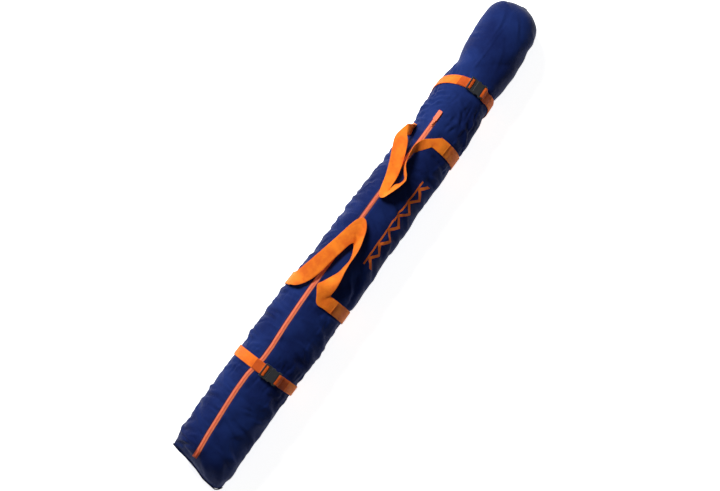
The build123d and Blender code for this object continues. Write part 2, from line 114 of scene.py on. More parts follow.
# how far in the bottom end's seam lies, across the bag
END_Y = np.array([-122, -117, -108, -97, -42, 22, 80, 112]) * MM
END_SHIFT = np.array([13, 4, -7, -13, -5, 18, 25, 31]) * MM


def station(x, column):
    """One measure of the form at x, smoothed so that the stations leave no corners."""
    reach = np.clip(np.minimum(x - START_X, END_X - x), 0, 22 * MM)
    total = 0
    offsets = np.linspace(-1, 1, 9)
    for offset in offsets:
        total = total + np.interp(x + offset * reach, STATIONS[:, 0], STATIONS[:, column])
    return total / len(offsets)


def form(x, a):
    """Points of the form at x and angle a, which is 0 on the zip side and 90 degrees on top."""
    x, a = np.broadcast_arrays(np.asarray(x, float), np.asarray(a, float))
    cos, sin = np.cos(a), np.sin(a)
    y = np.where(cos >= 0, station(x, LEFT), station(x, RIGHT)) * cos
    middle = station(x, MIDDLE)
    tall = station(x, TOP) - middle
    ground = middle - FLOOR_SHARE * tall
    over = middle + tall * sin - ground
    z = ground + FLOOR_ROUND * np.logaddexp(0, over / FLOOR_ROUND)
    return np.stack([x, y, z], -1)


def normals(x, a):
    """Outward normals of the form."""
    step = 1e-3
    turned = form(x, a + step) - form(x, a - step)
    along = form(x + 2 * MM, a) - form(x - 2 * MM, a)
    normal = unit(np.cross(turned, along))
    outward = form(x, a) - np.stack(np.broadcast_arrays(x, 0 * a, station(x, MIDDLE)), -1)
    return np.where((normal * outward).sum(-1, keepdims=True) < 0, -normal, normal)


def smoothstep(value, low, high):
    t = np.clip((value - low) / (high - low), 0, 1)
    return t * t * (3 - 2 * t)


def unit(vectors):
    return vectors / (np.linalg.norm(vectors, axis=-1, keepdims=True) + 1e-12)


def run_along(line):
    """Distance of each point of a line from its start."""
    return np.concatenate([[0], np.cumsum(np.linalg.norm(np.diff(line, axis=0), axis=1))])


# ------------------------------------------------------------------ mesh helpers
def mesh_object(name, points, faces, uvs=None, smooth=True):
    """A mesh from arrays; uvs are one pair per point."""
    mesh = bpy.data.meshes.new(name)
    mesh.from_pydata([tuple(p) for p in points], [], [tuple(int(i) for i in f) for f in faces])
    if uvs is not None:
        layer = mesh.uv_layers.new(name="metres")
        index = np.zeros(len(mesh.loops), dtype=np.int32)
        mesh.loops.foreach_get("vertex_index", index)
        layer.data.foreach_set("uv", np.asarray(uvs, np.float32)[index].ravel())
    mesh.polygons.foreach_set("use_smooth", [smooth] * len(mesh.polygons))
    mesh.update()
    thing = bpy.data.objects.new(name, mesh)
    bpy.context.scene.collection.objects.link(thing)
    return thing


def grid_faces(rows, columns, wrap=False):
    """Quads of a rows by columns grid of points, joined round the columns if wrap."""
    r = np.arange(rows - 1)[:, None]
    c = np.arange(columns if wrap else columns - 1)[None, :]
    nxt = (c + 1) % columns
    quads = np.stack([r * columns + c, r * columns + nxt, (r + 1) * columns + nxt,
                      (r + 1) * columns + c], -1)
    return quads.reshape(-1, 4)


def capped_faces(rows, columns, reverse):
    """Faces of a closed tube of rows by columns points, with a face on each end."""
    quads = [tuple(f) for f in grid_faces(rows, columns, wrap=True)]
    ends = [tuple(range(columns)),
            tuple((rows - 1) * columns + i for i in range(columns - 1, -1, -1))]
    return [f[::-1] for f in quads + ends] if reverse else quads + ends


# ------------------------------------------------------------------ the cloth body
# distance from the zip's line, and how far the cloth there lies over the form
VALLEY = np.array([(0, -5), (4, -5), (8, -5), (9.2, -2.4), (10.8, 0.2), (13.5, 1.4),
                   (17.5, 1.2), (30, 0)]) * MM
# x, and how far the zip's line has wandered there towards +Y
ZIP_BEND = np.array([
    (-957, -8), (-930, -6), (-870, 1), (-810, 5), (-750, 9), (-690, 12), (-630, 12), (-606, 9),
    (-580, 4), (-552, 0), (-500, 0), (-470, 2), (-420, 5), (-330, 8), (-250, 9), (130, 9),
    (220, 6), (330, 2), (400, 0)]) * MM
FREE_COLUMNS = 96
RING_STEP = 6.0 * MM
ZIP_HOLD = 11 * MM  # half width of the strip that the zip holds
WEB_DENT = -1.2 * MM  # cloth under the webbing, measured from the form
NECK_SEAM = 26 * MM  # from the middle of the upper strap down to the seam
CAP_SEAM_X, CAP_SEAM_SLANT = 985 * MM, 0.45
SEAM_HALF = 4 * MM
WEB_FADE = 12 * MM  # folds die out over this distance from webbing


def zip_line(x):
    """The zip's Y at x. It meets the slider's straight path at both ends of its travel."""
    return zip_y + np.interp(x, ZIP_BEND[:, 0], ZIP_BEND[:, 1])


def surface_z(x, y):
    """Height of the form's upper side at x and y."""
    reach = np.where(y >= 0, station(x, LEFT), station(x, RIGHT))
    middle = station(x, MIDDLE)
    share = np.clip(1 - (y / reach)**2, 0.02, 1)
    return middle + (station(x, TOP) - middle) * np.sqrt(share)


def zip_height(x):
    """Height of the cloth beside the zip: the CAD's as far as the slider goes."""
    share = smoothstep(x, -0.62, -0.56)
    return share * zip_z + (1 - share) * surface_z(x, zip_line(x))


def body_grid():
    """Rings of points round the bag. Returns points, outward normals, x and s of each, where
    s is the distance round the bag from the zip's line, positive on the zip side."""
    inner = np.arange(START_X + 5 * MM, END_X - 4 * MM, RING_STEP)
    xs = np.concatenate([[START_X], inner, [END_X - 1.5 * MM, END_X]])
    points, outs, s_all = [], [], []
    dense = np.linspace(0, 2 * math.pi, 1441)
    for x in xs:
        left = station(x, LEFT)
        start = math.acos(min(0.95, zip_line(x) / max(left, zip_line(x) * 1.1)))
        angles = start - dense
        run = run_along(form(x, angles))
        total = run[-1]
        near = VALLEY[:-1, 0] * min(1, total / 0.35)
        middle = np.linspace(near[-1], total - near[-1], FREE_COLUMNS + 2)[1:-1]
        s = np.concatenate([near, middle, total - near[:0:-1]])
        a = np.interp(s, run, angles)
        points.append(form(x, a))
        outs.append(normals(x, a))
        s_all.append(np.where(s > total / 2, s - total, s))
    return xs, np.array(points), np.array(outs), np.array(s_all)


def strap_x(side, y, z):
    """X of the middle of a strap at y and z. The upper one has slid up at the far side."""
    slid = np.interp(y, np.array([-105, -85, -60, 0, 100]) * MM, np.array([20, 13, 2, 0, -3]) * MM)
    return ring_x[side] + SLANT[side] * (z - BELLY) - TURN[side] * y + slid * (side == "upper")


def plane_distance(points, side):
    """Distance from the middle of a compression strap, along X."""
    return points[..., 0] - strap_x(side, points[..., 1], points[..., 2])


def cap_distance(points):
    """Distance beyond the slanting seam of the top end cap, along X."""
    return points[..., 0] - CAP_SEAM_X - CAP_SEAM_SLANT * points[..., 1]


xs, base, out, arc = body_grid()
rows, columns = base.shape[:2]
X, Y, Z = base[..., 0], base[..., 1], base[..., 2]

# where the cloth is held: zip edges, under the webbing, seams, and where it lies on the floor
held = np.zeros((rows, columns))
drop = np.zeros((rows, columns))
zip_window = (smoothstep(X, zip_low_x - 8 * MM, zip_low_x)
              * (1 - smoothstep(X, zip_high_x, zip_high_x + 8 * MM)))
drop += np.interp(np.abs(arc), VALLEY[:, 0], VALLEY[:, 1]) * zip_window
held = np.maximum(held, (np.abs(arc) < ZIP_HOLD) * zip_window)
for side in ("lower", "upper"):
    inside = np.abs(X - band_x[side]) < HANDLE_HALF + 1 * MM
    sewn = inside & ~((Y > -12 * MM) & (Z > 140 * MM))
    held = np.maximum(held, sewn)
    drop = np.where(sewn, WEB_DENT, drop)
    strapped = np.abs(plane_distance(base, side)) < STRAP_HALF + 2 * MM
    held = np.maximum(held, strapped)
    drop = np.where(strapped & (np.abs(arc) > ZIP_HOLD), WEB_DENT, drop)
floor_contact = Z < 1.2 * MM
held = np.maximum(held, floor_contact * 0.9)
neck_seam = np.abs(plane_distance(base, "upper") + NECK_SEAM) < SEAM_HALF
held = np.maximum(held, neck_seam)
drop = np.where(neck_seam, -2.0 * MM, drop)
cap_seam = np.abs(cap_distance(base)) < SEAM_HALF
held = np.maximum(held, cap_seam * 0.8)
drop = np.where(cap_seam, -2.2 * MM, drop)
held[0, :] = 1
held[-2:, :] = 1
side_seam = np.abs(Z - BELLY) < 3.5 * MM
held = np.maximum(held, side_seam * (np.abs(X) < 0.62) * 0.25)

inset = 2.2 * MM * (1 - smoothstep(held, 0.2, 0.9))
placed = base + out * (drop - inset)[..., None]
zip_lift = zip_height(X) - surface_z(X, zip_line(X))
placed[..., 2] += zip_lift * np.exp(-(arc / 0.045)**2) * zip_window
placed[..., 2] = np.maximum(placed[..., 2], 0.5 * MM)

# the bottom end's seam runs askew, furthest in at the pinched corner on the zip side
askew = np.interp(Y, END_Y, END_SHIFT)
placed[..., 0] += smoothstep(-X, 0.90, 1.0) * askew
faces = grid_faces(rows, columns, wrap=True)


def fan_cap(ring, centre, start_index):
    """Rings that narrow towards the centre of one end: their points, faces and last ring."""
    extra, new_faces, previous = [], [], ring
    depth = 7
    for step in range(1, depth):
        share = step / depth
        current = [start_index + len(extra) + index for index in range(columns)]
        extra += list(flat[ring] * (1 - share) + centre * share)
        for index in range(columns):
            nxt = (index + 1) % columns
            new_faces.append((previous[index], previous[nxt], current[nxt], current[index]))
        previous = current
    return extra, new_faces, previous


flat = placed.reshape(-1, 3)
count = len(flat)
first_ring = list(range(columns))
last_ring = list(range((rows - 1) * columns, rows * columns))
bottom_centre = flat[first_ring].mean(0) + np.array([-6 * MM, 0, 0])
top_centre = flat[last_ring].mean(0)
bottom_points, bottom_faces, bottom_last = fan_cap(first_ring, bottom_centre, count)
all_points = np.concatenate([flat, np.array(bottom_points), [bottom_centre, top_centre]])
bottom_hub, top_hub = len(all_points) - 2, len(all_points) - 1
bottom_faces += [(bottom_last[i], bottom_last[(i + 1) % columns], bottom_hub)
                 for i in range(columns)]
top_faces = [(last_ring[(i + 1) % columns], last_ring[i], top_hub) for i in range(columns)]
tube_faces = [tuple(f[::-1]) for f in faces]
all_faces = tube_faces + bottom_faces + top_faces
weights = np.concatenate([held.ravel(), np.full(len(bottom_points), 0.35), [1, 1]])
body_uv = np.zeros((len(all_points), 2))
body_uv[:count, 0], body_uv[:count, 1] = X.ravel(), arc.ravel()
body_uv[count:, 0] = all_points[count:, 1]
body_uv[count:, 1] = all_points[count:, 2] + 1


def noise_field(points, scale, seed):
    """Smooth repeatable noise from a few turned sine waves."""
    rng = np.random.default_rng(seed)
    total = np.zeros(len(points))
    for _ in range(14):
        direction = rng.normal(size=3) * scale
        total += np.sin(points @ direction + rng.uniform(0, 2 * math.pi))
    return total / math.sqrt(14)


SPARE = np.array([1.045, 1.012, 1.012])  # rest size of the cloth against the bag, by axis
CLOTH_FRAMES = 22


def simulate(points, quads, pins):
    """Lets the cloth swell and settle between the places that hold it. It moves by about a
    millimetre at most: the folds that show come from fold_lines."""
    cloth = mesh_object("cloth_trial", points, quads)
    group = cloth.vertex_groups.new(name="held")
    for level in np.unique(np.round(pins, 2)):
        if level > 0:
            chosen = np.nonzero(np.round(pins, 2) == level)[0]
            group.add([int(i) for i in chosen], float(level), "REPLACE")
    cloth.shape_key_add(name="Basis")
    rest = cloth.shape_key_add(name="Rest")
    ruffle = noise_field(points, 26, 3) * 0.010 + noise_field(points, 60, 5) * 0.004
    stretched = points * SPARE + np.stack([ruffle, 0 * ruffle, 0 * ruffle], -1)
    rest.data.foreach_set("co", stretched.astype(np.float32).ravel())
    modifier = cloth.modifiers.new("Cloth", "CLOTH")
    s = modifier.settings
    s.quality = 6
    s.mass = 0.25
    s.tension_stiffness = s.compression_stiffness = 18
    s.shear_stiffness = 6
    s.bending_stiffness = 0.9
    s.tension_damping = s.compression_damping = 6
    s.use_pressure = True
    s.uniform_pressure_force = 3.0
    s.vertex_group_mass = "held"
    s.pin_stiffness = 2.0
    s.rest_shape_key = rest
    s.effector_weights.gravity = 0
    modifier.collision_settings.use_collision = False
    modifier.collision_settings.use_self_collision = False
    modifier.point_cache.frame_start, modifier.point_cache.frame_end = 1, CLOTH_FRAMES
    scene = bpy.context.scene
    for number in range(1, CLOTH_FRAMES + 1):
        scene.frame_set(number)
    evaluated = cloth.evaluated_get(bpy.context.evaluated_depsgraph_get())
    moved = np.zeros(len(points) * 3, np.float32)
    evaluated.data.vertices.foreach_get("co", moved)
    moved = moved.reshape(-1, 3).astype(float)
    bpy.data.objects.remove(cloth, do_unlink=True)
    scene.frame_set(1)
    return moved


MOST_IN, MOST_OUT, MOST_TRAVEL = -9 * MM, 6.5 * MM, 12 * MM
outward = np.concatenate([out.reshape(-1, 3), np.tile([-1.0, 0, 0], (len(bottom_points) + 1, 1)),
                          [[1.0, 0, 0]]])
settled = simulate(all_points, all_faces, weights)
travel = settled - all_points
along_out = (travel * outward).sum(1)
limited = np.clip(along_out, MOST_IN, MOST_OUT)
travel += outward * (limited - along_out)[:, None]
length = np.linalg.norm(travel, axis=1, keepdims=True)
travel *= np.minimum(1, MOST_TRAVEL / np.maximum(length, 1e-9))
settled = all_points + travel
settled[:, 2] = np.maximum(settled[:, 2], 0.5 * MM)
print("cloth moved", float(np.abs(limited).mean()), float(limited.max()), float(limited.min()))


# ------------------------------------------------------------------ cloth pieces cut from the tube
def finished_tube():
    """The settled tube with its UVs and one subdivision: points, face corner lists and UVs."""
    tube = mesh_object("tube_trial", settled, all_faces, body_uv)
    tube.modifiers.new("Subdivision", "SUBSURF").levels = 1
    seen = tube.evaluated_get(bpy.context.evaluated_depsgraph_get())
    mesh = seen.to_mesh()
    points = np.zeros(len(mesh.vertices) * 3, np.float32)
    mesh.vertices.foreach_get("co", points)
    corners = np.zeros(len(mesh.loops), np.int32)
    mesh.loops.foreach_get("vertex_index", corners)
    uvs = np.zeros(len(mesh.loops) * 2, np.float32)
    mesh.uv_layers[0].data.foreach_get("uv", uvs)
    point_uvs = np.zeros((len(mesh.vertices), 2), np.float32)
    point_uvs[corners] = uvs.reshape(-1, 2)
    quads = corners.reshape(-1, 4)
    seen.to_mesh_clear()
    bpy.data.objects.remove(tube, do_unlink=True)
    return points.reshape(-1, 3).astype(float), quads, point_uvs


def fold_lines():
    """Creases as (x, s, heading, length, width, height): heading 0 runs round the bag."""
    rng = np.random.default_rng(11)
    lines = []

    def scatter(first, last, step, low, high, turn, spread, length, width, height):
        x = first
        while x < last:
            x += step * rng.uniform(0.55, 1.45)
            lines.append((x, low + (high - low) * rng.uniform(), rng.normal(turn, spread),
                          length * rng.uniform(0.6, 1.4), width * rng.uniform(0.75, 1.35),
                          height * rng.uniform(0.35, 1.25) * rng.choice([1, 1, -1])))

    # short puckers beside the zip on its near side, and at the near edge
    scatter(-0.93, 0.36, 0.024, 0.014, 0.05, 0.12, 0.30, 0.022, 0.0048, 2.2)
    scatter(-0.95, 0.60, 0.024, 0.055, 0.115, -0.15, 0.35, 0.034, 0.0062, 3.8)
    scatter(-0.95, 0.60, 0.040, 0.115, 0.19, 0.0, 0.3, 0.045, 0.009, 4.0)
    # the far side: large slack folds that run down and towards the bottom end
    scatter(-0.93, 0.62, 0.046, -0.05, -0.16, 0.45, 0.25, 0.062, 0.011, 5.4)
    scatter(-0.93, 0.62, 0.028, -0.03, -0.12, 0.30, 0.35, 0.032, 0.0065, 2.9)
    scatter(-0.95, 0.62, 0.032, -0.13, -0.21, 0.1, 0.3, 0.040, 0.008, 2.8)
    # the pinched corner, the slope at the bottom end, and long soft hollows on the far side
    lines += [(-0.962, 0.060, -0.8, 0.032, 0.011, -7.0), (-0.978, 0.035, 0.2, 0.030, 0.008, -3.0),
              (-0.975, -0.060, 0.5, 0.045, 0.010, 3.0), (-0.93, -0.10, 0.8, 0.06, 0.014, 4.0),
              (-0.86, -0.075, 0.55, 0.075, 0.015, 5.0), (-0.80, -0.115, 0.5, 0.070, 0.014, -5.0),
              (-0.74, -0.060, 0.6, 0.060, 0.012, 4.5), (-0.67, -0.11, 0.35, 0.070, 0.013, 5.0),
              (-0.50, -0.075, 0.30, 0.060, 0.012, 4.5), (-0.43, -0.10, 0.5, 0.080, 0.015, 5.0),
              (-0.36, -0.060, 0.25, 0.050, 0.010, 4.0), (0.345, -0.10, 0.1, 0.050, 0.012, 5.5),
              (0.30, -0.13, -0.2, 0.040, 0.010, 5.0), (0.46, -0.11, 0.2, 0.060, 0.013, 4.5),
              (0.50, -0.06, -0.3, 0.045, 0.010, 4.0)]
    lines += [(0.76, 0.05, 0.5, 0.035, 0.006, 3.0), (0.775, 0.02, 0.2, 0.030, 0.006, 2.6),
              (0.80, -0.06, 1.2, 0.050, 0.008, 2.4), (0.90, 0.01, 1.4, 0.060, 0.008, 2.6),
              (0.93, -0.05, 1.0, 0.040, 0.007, 2.8), (0.70, 0.09, 0.9, 0.030, 0.007, 3.2)]
    # underneath and on the top section
    scatter(-0.93, 0.62, 0.06, 0.2, 0.3, 0.0, 0.4, 0.06, 0.012, 1.6)
    scatter(0.68, 0.98, 0.04, -0.16, 0.12, 0.2, 0.6, 0.05, 0.010, 2.8)
    # uneven arcs round the top end of the zip
    for reach, angle, height in (
            (0.028, -1.5, 2.0), (0.030, -0.6, 1.2), (0.026, 0.5, 1.6), (0.046, -1.9, 3.0),
            (0.050, -1.1, 3.4), (0.044, 0.1, 1.6), (0.047, 0.9, 2.4), (0.068, -1.5, 3.2),
            (0.072, -0.5, 2.0), (0.063, 0.6, 2.6), (0.092, -1.2, 2.6), (0.088, -0.1, 1.8),
            (0.084, 1.1, 2.0)):
        angle += rng.normal(0, 0.08)
        wide = 1.0 + 0.5 * (angle < 0)
        lines.append((zip_high_x + reach * math.cos(angle), wide * reach * math.sin(angle), -angle,
                      0.022 * (1 + reach * 7), 0.0062, height * 1.5))
    # gathers that leave each strap and handle band
    for middle, half, count, size in (
            (ring_x["lower"], 0.045, 34, 2.0), (ring_x["upper"], 0.047, 30, 2.2),
            (band_x["lower"], 0.050, 22, 1.3), (band_x["upper"], 0.050, 24, 1.8)):
        for sign in (-1, 1):
            for s in np.linspace(-0.30, 0.30, count):
                s += rng.normal(0, 0.006)
                lines.append((middle + sign * half, s, math.pi / 2 + rng.normal(0, 0.22),
                              0.026 * rng.uniform(0.6, 1.5), 0.0052 * rng.uniform(0.8, 1.4),
                              size * rng.uniform(0.2, 1.2) * rng.choice([1, -1])))
    return lines


def fold_height(u, v):
    """Height in metres of all the creases at x = u and s = v."""
    total = np.zeros(len(u))
    for x, s, heading, length, width, height in fold_lines():
        reach = 2.6 * length + 3 * width
        near = (np.abs(u - x) < reach) & (np.abs(v - s) < reach)
        du, dv = u[near] - x, v[near] - s
        along = du * math.sin(heading) + dv * math.cos(heading)
        off = du * math.cos(heading) - dv * math.sin(heading) + along**2 * 1.6
        crest = np.exp(-(off / width)**2) - 0.55 * np.exp(-((off - 1.7 * width) / (1.3 * width))**2)
        total[near] += height * MM * crest * np.exp(-(along / length)**2)
    return total


def slack(u, v):
    """Broad unevenness of the padding, larger on the far side, in metres."""
    where = np.stack([u, v, 0 * u], -1)
    broad = noise_field(where, 16, 21) * 0.0021 + noise_field(where, 38, 22) * 0.0014
    return broad * np.where(v < 0, 1.35, 0.8)


def creased(points, quads, uvs):
    """The tube's points moved in and out by the creases, except where the cloth is held."""
    corner = points[quads]
    face = np.cross(corner[:, 2] - corner[:, 0], corner[:, 3] - corner[:, 1])
    normal = np.zeros_like(points)
    for k in range(4):
        np.add.at(normal, quads[:, k], face)
    normal = unit(normal)
    u, v = uvs[:, 0].astype(float), uvs[:, 1].astype(float)
    free = smoothstep(np.abs(v), 9 * MM, 19 * MM)
    free = np.where((u > zip_high_x + 6 * MM) | (u < zip_low_x - 4 * MM), 1.0, free)
    for side in ("lower", "upper"):
        from_strap = np.abs(plane_distance(points, side)) - STRAP_HALF
        free = free * smoothstep(from_strap, 0, WEB_FADE)
        on_band = 1 - smoothstep(np.abs(points[:, 0] - band_x[side]) - HANDLE_HALF, 0, WEB_FADE)
        sewn = 1 - smoothstep(points[:, 1], -14 * MM, 6 * MM) * smoothstep(points[:, 2], 0.13, 0.16)
        free = free * (1 - on_band * sewn)
    free = free * smoothstep(points[:, 2], 2 * MM, 14 * MM)
    free = free * smoothstep(u, START_X, START_X + 14 * MM) * (1 - smoothstep(u, 0.99, 1.03))
    free = np.where((np.abs(v) > 0.5) | (u < START_X + 1 * MM), 0.0, free)
    height = fold_height(u, v) + slack(u, v)
    height = np.clip(height, -7 * MM, 6 * MM)
    # handles and buckles lie on the cloth, so folds under them stay low
    under = smoothstep(points[:, 2], 0.170, 0.190) * (points[:, 1] < 0.03) * (points[:, 1] > -0.06)
    height = np.where(height > 0, height * (1 - 0.55 * under), height)
    moved = points + normal * (height * free)[:, None]
    moved[:, 2] = np.maximum(moved[:, 2], 0.4 * MM)
    return moved


def cut(name, points, quads, uvs, chosen):
    """The chosen faces as a piece of their own."""
    used, renumbered = np.unique(quads[chosen], return_inverse=True)
    return mesh_object(name, points[used], renumbered.reshape(-1, 4), uvs[used])


tube_points, tube_quads, tube_uvs = finished_tube()
tube_points = creased(tube_points, tube_quads, tube_uvs)
centres = tube_points[tube_quads].mean(1)
from_end = centres[:, 0] - np.interp(centres[:, 1], END_Y, END_SHIFT) - START_X
in_end = from_end < 1.5 * MM
in_cap = (cap_distance(centres) > 0) & ~in_end
in_top = (plane_distance(centres, "upper") > 0) & ~in_cap
parts = {"bottom_end_cloth": in_end, "main_body_cloth": ~(in_end | in_cap | in_top),
         "top_extension_cloth": in_top, "top_end_cloth": in_cap}
pieces = {name: cut(name, tube_points, tube_quads, tube_uvs, chosen)
          for name, chosen in parts.items()}
CLOTH_NODES = {
    "bottom_end_cloth": ("bottom_end_panel",),
    "main_body_cloth": ("front_panel", "back_panel", "foam_padding", "lining"),
    "top_extension_cloth": ("top_extension",),
    "top_end_cloth": ("top_end_cap",),
}


# ------------------------------------------------------------------ webbing and tape
def ribbon(name, edge_a, edge_b, thick=WEB_THICK, crown=0.0, columns=9, flip=False):
    """A flat strip between two edge lines, thick across, with soft edges. Its UVs are the
    distance along it and across it, in metres."""
    edge_a, edge_b = np.asarray(edge_a, float), np.asarray(edge_b, float)
    middle = (edge_a + edge_b) / 2
    along = unit(np.gradient(middle, axis=0))
    across = edge_b - edge_a
    normal = unit(np.cross(along, across)) * (-1 if flip else 1)
    half_width = np.linalg.norm(across, axis=1) / 2
    lane = np.linspace(-1, 1, columns)
    rim = 1 - 0.5 * thick / half_width.mean()
    section = [(-1, -0.28), (-1, 0.28)] + [(p * rim, 0.5) for p in lane]
    section += [(1, 0.28), (1, -0.28)] + [(p * rim, -0.5) for p in lane[::-1]]
    section = np.array(section)
    lift = crown * (1 - section[:, 0]**2)
    points = (middle[:, None] + across[:, None] * section[None, :, :1] / 2
              + normal[:, None] * (section[:, 1] * thick + lift)[None, :, None])
    uvs = np.stack([np.repeat(run_along(middle), len(section)),
                    (section[None, :, 0] * half_width[:, None]).ravel()], -1)
    return mesh_object(name, points.reshape(-1, 3),
                       capped_faces(len(middle), len(section), not flip), uvs)


def around(plane, a, rise):
    """Points at angles a where the form meets the plane x = plane(y, z), raised from it."""
    x = np.full(len(a), float(plane(0, BELLY)))
    for _ in range(8):
        p = form(x, a)
        x = plane(p[:, 1], p[:, 2])
    raised = form(x, a) + normals(x, a) * rise
    raised[:, 2] = np.maximum(raised[:, 2], 1.3 * MM)
    return raised


def wrap_edges(plane, a, rise, half):
    """Both edges of webbing laid round the form along a plane."""
    return (around(lambda y, z: plane(y, z) - half, a, rise),
            around(lambda y, z: plane(y, z) + half, a, rise))


def band_angle_left(height, x):
    """Angle at which the form reaches a height on the zip side."""
    tall = station(x, TOP) - station(x, MIDDLE)
    return math.asin((height - station(x, MIDDLE)) / tall)


def band_angle_right(y, x):
    """Angle at which the form reaches a negative y on the other side."""
    return math.acos(y / station(x, RIGHT)) if y < 0 else math.pi / 2


def spline(keys, steps=10):
    """A smooth line through the key points."""
    keys = np.asarray(keys, float)
    padded_keys = np.concatenate([[2 * keys[0] - keys[1]], keys, [2 * keys[-1] - keys[-2]]])
    line = []
    for i in range(len(keys) - 1):
        p0, p1, p2, p3 = padded_keys[i:i + 4]
        t = np.linspace(0, 1, steps, endpoint=False)[:, None]
        line.append(0.5 * (2 * p1 + (p2 - p0) * t + (2 * p0 - 5 * p1 + 4 * p2 - p3) * t**2
                           + (3 * p1 - p0 - 3 * p2 + p3) * t**3))
    line.append(keys[-1:])
    return np.concatenate(line)


webbing = []
for side in ("lower", "upper"):
    x = band_x[side]
    a = np.linspace(band_angle_left(0.140, x), -(2 * math.pi - band_angle_right(-0.014, x)), 150)
    edges = wrap_edges(lambda y, z: x + 0 * y, a, WEB_RISE, HANDLE_HALF)
    piece = ribbon(f"{side}_handle_band_webbing", *edges)
    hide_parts(f"{side}_handle_band")
    webbing.append((piece, "bag"))


def buckle_frame(side):
    """The buckle's mouth, the strap's direction there, the way up and the way across."""
    pull = Vector(JOINTS[f"{side}_buckle_pull_out"]["axis"])
    flex = [JOINTS[f"{side}_arm_{end}_flex"] for end in ("bottom", "top")]
    way_up = Vector(flex[0]["axis"])
    mouth = (Vector(flex[0]["pos_m"]) + Vector(flex[1]["pos_m"])) / 2 - pull * 3.5 * MM
    return [np.array(v) for v in (mouth, pull, way_up, pull.cross(way_up))]


def threaded(side, local):
    """Both edges of webbing that runs through a buckle by (u, height) points, in mm."""
    mouth, pull, way_up, across = buckle_frame(side)
    line = spline(np.array(local) * MM, 5)
    middle = mouth + line[:, :1] * pull + line[:, 1:] * way_up
    half = across * END_HALF
    return middle + half, middle - half


def strap_end(side, part, thread, plane, angles):
    """Webbing that runs through a buckle and then on round the bag, over the strap's ring."""
    first, second = threaded(side, thread)
    third, fourth = wrap_edges(plane, angles, END_RISE, END_HALF)
    if (fourth - third)[0] @ (second - first)[0] < 0:
        third, fourth = fourth, third
    return ribbon(f"{side}_strap_{part}_webbing", np.concatenate([first, third]),
                  np.concatenate([second, fourth]), thick=1.9 * MM)


# where the webbing goes through each half of the buckle: distance along the pull, and height
PLUG_THREAD = [(11.3, -2.8), (11.2, 1.2), (12.6, 2.9), (16, 3.3), (19, 2.8), (20.6, 1.2),
               (21.2, -2.0), (23.5, -3.6)]
SOCKET_THREAD = [(-41, -4.4), (-36.5, -4.1), (-33.7, -3.0), (-33.2, 0), (-33.7, 3.2), (-36.5, 4.4),
                 (-41, 4.1), (-44.5, 1.8)]
for side in ("lower", "upper"):
    def plane(y, z, side=side):
        return strap_x(side, y, z)
    mouth_y = buckle_frame(side)[0][1]
    reach = station(ring_x[side], RIGHT)
    a = math.acos(mouth_y / reach) - np.linspace(0, 2 * math.pi, 721)
    run = run_along(around(plane, a, WEB_RISE))
    total = run[-1]

    def at(distances, a=a, run=run):
        return np.interp(distances, run, a)

    edges = wrap_edges(plane, at(np.linspace(24 * MM, total - 46 * MM, 170)), WEB_RISE, STRAP_HALF)
    ring = ribbon(f"{side}_strap_ring_webbing", *edges)
    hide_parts(f"{side}_strap_ring")
    webbing.append((ring, "bag"))

    fold = strap_end(side, "fold", SOCKET_THREAD, plane,
                     at(np.linspace(total - 53 * MM, total - 82 * MM, 16)))
    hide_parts(f"{side}_strap_fold")
    webbing.append((fold, "bag"))

    tail = strap_end(side, "tail", PLUG_THREAD, plane, at(np.linspace(31 * MM, 60 * MM, 16)))
    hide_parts(f"{side}_strap_tail")
    webbing.append((tail, f"{side}_plug"))

LOWER_OUTER = [
    (-247, 124.5, 100), (-247, 124.5, 128), (-247, 124, 152), (-239, 121, 174), (-214, 115, 189),
    (-177, 106, 197), (-128, 95, 203), (-79, 84, 207), (-40, 76, 210), (-6, 69, 211),
    (20, 61, 211), (38, 48, 211), (35, 31, 215), (11, 14, 223), (-26, 3, 232), (-60, -4, 241),
    (-98, -5.5, 247), (-125, -6, 248), (-155, -9.5, 246), (-185, -16, 239), (-215, -20.5, 227),
    (-240, -21, 213), (-249, -21, 206), (-248, -24, 202.5), (-247, -40, 200), (-247, -58, 193),
]
LOWER_INNER = [
    (-297, 124.5, 100), (-297, 124, 130), (-295, 116, 158), (-280, 91, 186), (-238, 66, 202),
    (-191, 53.5, 208), (-140, 45.5, 212), (-97, 37, 214), (-68, 30.5, 215), (-57, 25.5, 215),
    (-54, 22.5, 215), (-53, 20.5, 214), (-56, 19, 213), (-60, 17, 211), (-66, 12, 208),
    (-90, 1, 206), (-112, -3, 204.5), (-131, -1, 203.5), (-163, 4, 203.5), (-193, 17, 204),
    (-222, 31, 205.5), (-241, 40, 208), (-270, 22, 209), (-297, 2, 204.5), (-297, -28, 201.5),
    (-297, -56, 194),
]
UPPER_OUTER = [
    (436, 91.5, 92), (436, 91, 120), (433, 89, 144), (427, 87, 163), (413, 101, 181),
    (407, 109, 187.5), (402, 111.5, 188.5), (376, 118, 191), (341, 121.5, 193), (300, 107, 199),
    (255, 87, 204),
    (208, 69, 199), (166, 58, 199), (142, 50, 204), (131, 40, 213), (138, 30, 226),
    (158, 22, 238), (180, 14.5, 244), (203, 8, 247), (226, 5, 247), (245, 15, 247),
    (267, 34, 245), (290, 43, 242), (315, 48.5, 238), (346, 50, 228), (373, 44, 215),
    (395, 30, 207), (415, 6, 203.5), (433, -16, 201.5), (436, -35, 198.5), (436, -55, 192),
]
